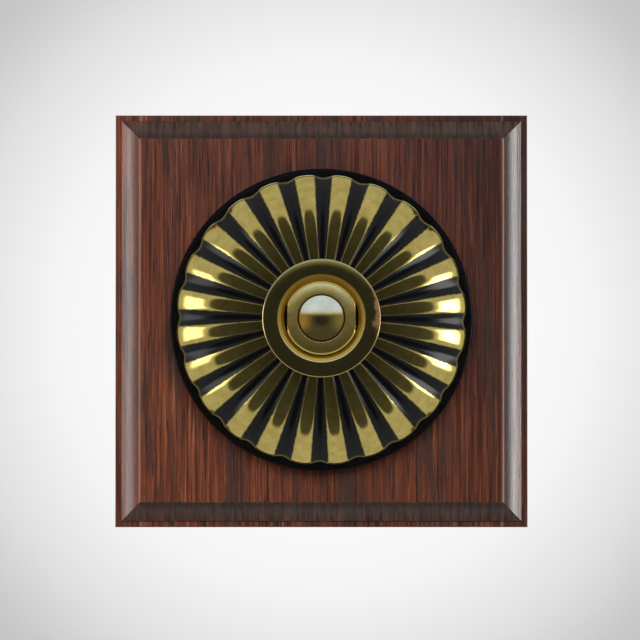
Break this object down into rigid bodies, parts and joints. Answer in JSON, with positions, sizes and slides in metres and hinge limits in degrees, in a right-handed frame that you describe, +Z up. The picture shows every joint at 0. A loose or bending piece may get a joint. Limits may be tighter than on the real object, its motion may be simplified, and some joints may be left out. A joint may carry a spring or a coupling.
{
  "type": "pushbutton switch",
  "caption": "Wall pushbutton switch: fluted antique-brass dome with a sprung brass button, on a black round base and a square moulded oak pattress.",
  "frame": {"origin": "centre of the pattress on the wall plane, midway between the wall-screw holes", "axes": "+Y into the wall, -Y out of the wall towards the user, +Z up, X across"},
  "size_m": [0.094, 0.0403, 0.094],
  "materials": {
    "oak": "satin",
    "black_moulding": "satin",
    "antique_brass": "polished ridges, dark valleys",
    "polished_brass": "polished",
    "fibre": "matte",
    "brown_moulding": "satin",
    "white_moulding": "matte",
    "spring_steel": "bright",
    "contact_brass": "satin",
    "silver": "satin",
    "plated_steel": "satin"
  },
  "bodies": {
    "switch": {"pattress": "oak", "base": "black_moulding", "dome_cover": "antique_brass", "collar_nut": "polished_brass", "dome_washer": "fibre", "bush": "polished_brass", "switch_housing": "brown_moulding", "return_spring": "spring_steel", "earth_tag": "contact_brass", "earth_nut": "contact_brass", "earth_screw": "contact_brass", "line_contact": "contact_brass", "line_contact_tip": "silver", "line_terminal": "contact_brass", "line_terminal_screw": "contact_brass", "load_contact": "contact_brass", "load_contact_tip": "silver", "load_terminal": "contact_brass", "load_terminal_screw": "contact_brass", "base_screw_upper": "plated_steel", "housing_screw_upper": "plated_steel", "base_screw_lower": "plated_steel", "housing_screw_lower": "plated_steel"},
    "push_button": {"button": "polished_brass", "plunger": "white_moulding", "contact_bridge": "contact_brass", "bridge_clip": "spring_steel", "bridge_tip_line": "silver", "bridge_tip_load": "silver"}
  },
  "joints": [
    {"name": "button_press", "type": "slide", "parent": "switch", "child": "push_button", "axis": [0, 1, 0], "range_m": [0, 0.002], "stiffness_N_per_m": 600, "springref_m": -0.002, "deforming": ["return_spring"]}
  ]
}
